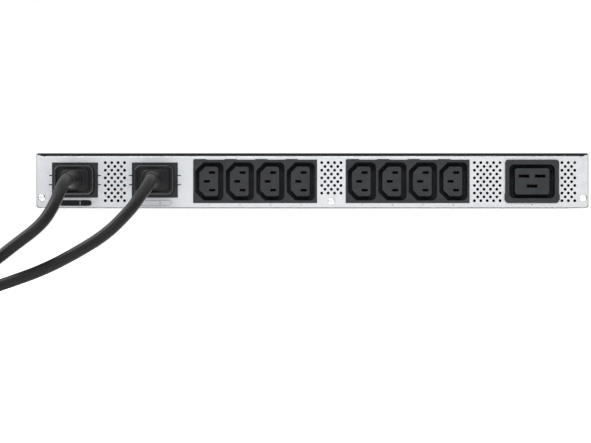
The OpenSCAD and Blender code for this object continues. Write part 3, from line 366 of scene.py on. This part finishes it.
def coil_points(index):
    """The turns of one coil: cord 1 winds clockwise from its near side, cord 2 the other way."""
    sense = -1 if index == 1 else 1
    centre_x, centre_y = COIL_CENTRE[index]
    count = round(COIL_DEGREES / 360 * POINTS_PER_TURN)
    points = []
    for k in range(count + 1):
        degree = k * COIL_DEGREES / count
        out, up = turn_place(degree)
        radius = COIL_R + out * CORD_D
        angle = math.radians(sense * (90 + degree))
        points.append((
            centre_x + radius * math.cos(angle), centre_y + radius * math.sin(angle),
            FLOOR_Z + up * CORD_D))
    return points


def cord_curve(name, points, diameter):
    """A round cord on one smooth line through the points."""
    curve = bpy.data.curves.new(name, "CURVE")
    curve.dimensions = "3D"
    curve.bevel_depth = diameter * MM / 2
    curve.bevel_resolution = 5
    curve.resolution_u = 5
    curve.use_fill_caps = True
    spline = curve.splines.new("BEZIER")
    spline.bezier_points.add(len(points) - 1)
    places = [at(*point) for point in points]
    for k, knot in enumerate(spline.bezier_points):
        before, after = places[max(k - 1, 0)], places[min(k + 1, len(places) - 1)]
        share = 6 if 0 < k < len(places) - 1 else 3
        pull = (after - before) / share
        knot.co = places[k]
        knot.handle_left_type = knot.handle_right_type = "FREE"
        knot.handle_left, knot.handle_right = places[k] - pull, places[k] + pull
    return place_piece(bpy.data.objects.new(name, curve), "cord_jacket")


# ---------------------------------------------------------------- plugs

PLUG_OUT = 33
# How far each plug's boot leans down and to the left, in degrees
LEAN = {1: (1.3, 7.2), 2: (0, 2)}
# Sections of a plug's grip from the nose to the back: depth, width, height, corner radius
GRIP = [(19.5, 29.2, 22.2, 4.1), (19, 29.8, 22.8, 4.4), (0, 30, 23, 4.5), (-6, 30, 23, 4.5),
        (-26.2, 30, 23, 4.5), (-27.6, 29.8, 22.8, 4.4), (-28.6, 29.2, 22.2, 4.2), (-29.2, 28.2, 21.2, 4),
        (-29.3, 26.8, 19.8, 3.8), (-29, 25.6, 18.6, 3.6), (-28.7, 24.6, 17.8, 3.6), (-28.8, 22.4, 16.6, 4.4),
        (-29.6, 19.6, 15.6, 5.4), (-31, 17, 14.8, 6.4)]
# The round boot behind the grip: distance along it and radius
BOOT = [(-3, 7.3), (1, 7.3), (1.8, 7.1), (2.2, 6.7), (2.4, 6.2), (3.2, 6.2), (3.4, 6.6), (5.6, 6.5), (6, 5.9),
        (7, 5.9), (7.3, 6.4), (9.8, 6.25), (10.2, 5.6), (11.3, 5.6), (11.6, 6.15), (14, 6.0), (14.4, 5.5),
        (15.5, 5.5), (15.8, 5.9), (18.4, 5.75), (18.8, 5.3), (19.9, 5.3), (20.2, 5.65), (24.6, 5.45),
        (25.6, 5.3), (26, 5.0)]


def boot_rings(base, direction, sides=32):
    """Rings of the boot along a direction, in millimetres."""
    side = direction.cross(Vector((0, 0, 1))).normalized()
    up = side.cross(direction)
    rings = []
    for along, radius in BOOT:
        centre = base + direction * along
        rings.append([
            centre + radius * (math.cos(a) * side + math.sin(a) * up)
            for a in (2 * math.pi * k / sides for k in range(sides))])
    return rings


def plug_mesh(name, centre, pitch, yaw):
    """A moulded plug: grip with a rolled rim and dished back, and a ribbed boot."""
    pitch, yaw = math.radians(pitch), math.radians(yaw)
    lean = Vector((-math.sin(yaw) * math.cos(pitch), -math.cos(yaw) * math.cos(pitch), -math.sin(pitch)))

    def build(work):
        rings = [[centre + Vector((x, y, z)) * MM for x, z in rounded_ring(w, h, r)] for y, w, h, r in GRIP]
        loft(work, rings)
        base = Vector((0, -PLUG_OUT, 0))
        loft(work, [[centre + point * MM for point in ring] for ring in boot_rings(base, lean)])

    return mesh_from(name, build)


def make_plug(index):
    """The plug in an inlet."""
    centre = middle(f"inlet_{index}_housing")
    centre.y = ORIGIN.y
    mesh = plug_mesh("plug", centre, *LEAN[index])
    plug = place_piece(bpy.data.objects.new(f"plug_{index}_moulding", mesh), "plug_rubber")
    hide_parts(f"plug_{index}")
    return plug


def make_cord(index, plug):
    """A mains cord from its plug through its coil to the far plug."""
    points = LEADS[index] + coil_points(index) + TAILS[index]
    cord = cord_curve(f"mains_cord_{index}", points, CORD_D)
    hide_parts(f"cord_{index}", f"cord_{index}_coil")


for index in (1, 2):
    make_cord(index, make_plug(index))

# ---------------------------------------------------------------- trimmed CAD pieces

BANK_H = 34.4
LUG_UP = 0.6       # how far a bank's top lugs rise
CAD_LIP_H = 1.6    # the cover's lip as built in the CAD
LIP_H = 1.25       # the narrower lip that shows
FRONT_DEPTH = 0.5  # points this near the panel's face, or before it, are in front
LIP_MARGIN = 0.1


def refined(name, new_name, slot, height):
    """A copy of a CAD piece that replaces it, its points in front set to a function's height."""
    node = frame["nodes"][name]
    mesh = node.data.copy()
    back = node.matrix_world.inverted().to_3x3()
    for vertex in mesh.vertices:
        place = node.matrix_world @ vertex.co
        if place.y < ORIGIN.y + FRONT_DEPTH * MM:
            vertex.co += back @ Vector((0, 0, height(place.z) - place.z))
    piece = bpy.data.objects.new(new_name, mesh)
    piece.matrix_world = node.matrix_world
    place_piece(piece, slot)
    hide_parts(name)


def make_bank(index):
    """The bank's moulding with its lugs trimmed: low ones along the top edge, flush ones below."""
    name = f"bank_{index}_housing"
    high = middle(name).z + (BANK_H / 2 + LUG_UP) * MM
    low = middle(name).z - BANK_H / 2 * MM
    refined(name, f"bank_{index}_moulding", "socket_plastic", lambda z: min(max(z, low), high))


def make_cover():
    """The cover with its narrow lip; the hooks under the lip move up with it."""
    below = COVER_TOP - (LIP_H + LIP_MARGIN) * MM
    lift = (CAD_LIP_H - LIP_H) * MM
    refined("top_cover", "cover_sheet", "black_paint", lambda z: z + lift if z < below else z)


for index in (1, 2):
    make_bank(index)
make_cover()

# ---------------------------------------------------------------- printed marks

INK_T = 0.03
PILL_W, PILL_H, PILL_LINE = 26.5, 4.6, 0.35
RING_SLACK = 0.01     # keeps a pill's end from closing to a point
LABEL_Z = 3.85
LABEL_NUMERAL_H = 2.6
LABEL_SHIFT = 4       # from an inlet's middle to its number
SMALL_LABEL_Z = 2.2
SMALL_NUMERAL_H = 1.7
OUTLET_PITCH = 24.3
CAP_SHARE = 0.7       # a numeral's height as a share of the font's size
INKS = {
    "black": grained("black ink", (0.01, 0.01, 0.011), 0.5, 1500, 0.000002, **DULL),
    "white": grained("white ink", (0.75, 0.76, 0.77), 0.5, 1500, 0.000002, **DULL),
    "grey": grained("grey ink", (0.16, 0.165, 0.17), 0.5, 1500, 0.000002, **DULL)}


def on_panel(x, z):
    """A point of a mark, to be laid on the panel's face."""
    place = at(x, 0, z)
    return Vector((place.x, 0, place.z))


def print_mesh(name, mesh, ink, layer):
    """Lays a flat mesh, drawn in X and Z in metres, on the socket panel as a layer of ink."""
    obj = bpy.data.objects.new(name, mesh)
    obj.location = (0, ORIGIN.y - layer * INK_T * MM, 0)
    place_piece(obj, "black_paint", INKS[ink])


def pill(name, x, ink, line=None):
    """A filled pill, or the outline of one where a line width is given."""

    def rim(work, inset):
        width, height = PILL_W - 2 * inset, PILL_H - 2 * inset
        return [
            work.verts.new(on_panel(x + px, LABEL_Z + pz))
            for px, pz in rounded_ring(width, height, height / 2 - RING_SLACK)]

    def build(work):
        outer = rim(work, 0)
        if line is None:
            work.faces.new(outer)
            return
        inner = rim(work, line)
        for k in range(len(outer)):
            after = (k + 1) % len(outer)
            work.faces.new((outer[k], outer[after], inner[after], inner[k]))

    print_mesh(name, mesh_from(name, build, smooth=False), ink, 1)


def numeral(text, x, z, height, ink):
    """A plain number, centred at a place on the panel."""
    curve = bpy.data.curves.new(f"numeral {text}", "FONT")
    curve.body = text
    curve.align_x, curve.align_y = "CENTER", "CENTER"
    curve.size = height * MM / CAP_SHARE
    curve.resolution_u = 3
    drawn = link(bpy.data.objects.new("drawn", curve))
    mesh = bpy.data.meshes.new_from_object(drawn.evaluated_get(bpy.context.evaluated_depsgraph_get()))
    bpy.data.objects.remove(drawn)
    bpy.data.curves.remove(curve)
    mesh.transform(Matrix.Translation(on_panel(x, z)) @ Matrix.Rotation(math.pi / 2, 4, "X"))
    print_mesh(f"numeral_{text}", mesh, ink, 2)


def from_middle(node):
    """The X of a node's middle in millimetres from the unit's own origin."""
    return (middle(node).x - ORIGIN.x) / MM


def make_marks():
    """Pills with plain numbers by the inlets and small plain numbers under the outlets."""
    for index, pill_ink, line, ink in ((1, "black", None, "white"), (2, "grey", PILL_LINE, "grey")):
        x = from_middle(f"inlet_{index}_housing")
        pill(f"inlet_{index}_pill", x, pill_ink, line)
        numeral(str(index), x + LABEL_SHIFT, LABEL_Z, LABEL_NUMERAL_H, ink)
    outlets = [
        from_middle(f"bank_{bank}_housing") + place * OUTLET_PITCH
        for bank in (1, 2) for place in (-1.5, -0.5, 0.5, 1.5)]
    outlets.append(from_middle("large_outlet_housing"))
    for number, x in enumerate(outlets, 1):
        numeral(str(number), x, SMALL_LABEL_Z, SMALL_NUMERAL_H, "grey")


make_marks()

# ---------------------------------------------------------------- room and light


FLOOR_HALF = 6.0    # metres
# How bright the room is where it is seen or reflected, and where it only lights something
SEEN_LEVEL, LIGHT_LEVEL = 1.0, 0.32
AIM = (-30, 0, 10)
# Each lamp's place and aim in millimetres from the unit's own origin, its size in metres and its watts.
# The rim lamps are nearly in the panel's plane, so that they light the cords and plugs more than the panel.
LAMPS = {
    "key": ((-150, -1700, 800), AIM, (0.9, 0.5), 12),
    "fill": ((1100, -1500, 500), AIM, (1.2, 0.8), 2),
    "top": ((0, -150, 1500), AIM, (1.6, 0.5), 10),
    "left rim": ((-1150, -40, 950), (-200, -60, -10), (0.12, 1.1), 34),
    "right rim": ((900, -40, 1050), (-150, -30, 20), (0.1, 0.6), 1.5),
}


def make_floor():
    """A wide pale floor, level with the lowest piece, that shows white."""
    nodes = Nodes("floor")
    tree = nodes.tree
    output = next(node for node in tree.nodes if node.type == "OUTPUT_MATERIAL")
    paint = nodes.add("ShaderNodeBsdfDiffuse", Color=(0.9, 0.9, 0.9, 1))
    glow = nodes.add("ShaderNodeEmission", Strength=SEEN_LEVEL)
    seen = seen_rays(tree)
    nothing = nodes.add("ShaderNodeEmission", Strength=0.0)
    pick = nodes.add("ShaderNodeMixShader")
    total = nodes.add("ShaderNodeAddShader")
    nodes.join(seen, pick.inputs[0])
    nodes.join(nothing.outputs[0], pick.inputs[1])
    nodes.join(glow.outputs[0], pick.inputs[2])
    nodes.join(paint.outputs[0], total.inputs[0])
    nodes.join(pick.outputs[0], total.inputs[1])
    nodes.join(total.outputs[0], output.inputs["Surface"])

    low = min(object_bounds()[0].z, ORIGIN.z + FLOOR_Z * MM)

    def build(work):
        work.faces.new([
            work.verts.new((ORIGIN.x + sx * FLOOR_HALF, sy * FLOOR_HALF, low))
            for sx, sy in ((-1, -1), (1, -1), (1, 1), (-1, 1))])

    floor = link(bpy.data.objects.new("floor", mesh_from("floor", build, smooth=False)))
    floor.data.materials.append(nodes.material)


def seen_rays(tree):
    """One where a ray comes from the camera, a reflection or through something clear."""
    path = tree.nodes.new("ShaderNodeLightPath")
    total = path.outputs["Is Camera Ray"]
    for name in ("Is Glossy Ray", "Is Transmission Ray"):
        add = tree.nodes.new("ShaderNodeMath")
        add.operation = "ADD"
        add.use_clamp = True
        tree.links.new(total, add.inputs[0])
        tree.links.new(path.outputs[name], add.inputs[1])
        total = add.outputs[0]
    return total


def make_world():
    """White where it is seen or reflected, and a softer level for what it lights."""
    world = bpy.data.worlds.new("world")
    bpy.context.scene.world = world
    world.use_nodes = True
    tree = world.node_tree
    background = tree.nodes["Background"]
    background.inputs["Color"].default_value = (1, 1, 1, 1)
    spread = tree.nodes.new("ShaderNodeMapRange")
    spread.inputs["To Min"].default_value = LIGHT_LEVEL
    spread.inputs["To Max"].default_value = SEEN_LEVEL
    tree.links.new(seen_rays(tree), spread.inputs["Value"])
    tree.links.new(spread.outputs["Result"], background.inputs["Strength"])


def lamp(name, place, target, size, power):
    """A rectangular lamp that faces its target."""
    data = bpy.data.lights.new(name, "AREA")
    data.shape = "RECTANGLE"
    data.size, data.size_y = size
    data.energy = power
    obj = link(bpy.data.objects.new(name, data))
    obj.location = place
    obj.rotation_euler = (target - place).to_track_quat("-Z", "Y").to_euler()


make_floor()
make_world()
for name, (place, aim, size, power) in LAMPS.items():
    lamp(name, at(*place), at(*aim), size, power)
bpy.context.scene.view_settings.view_transform = "Standard"
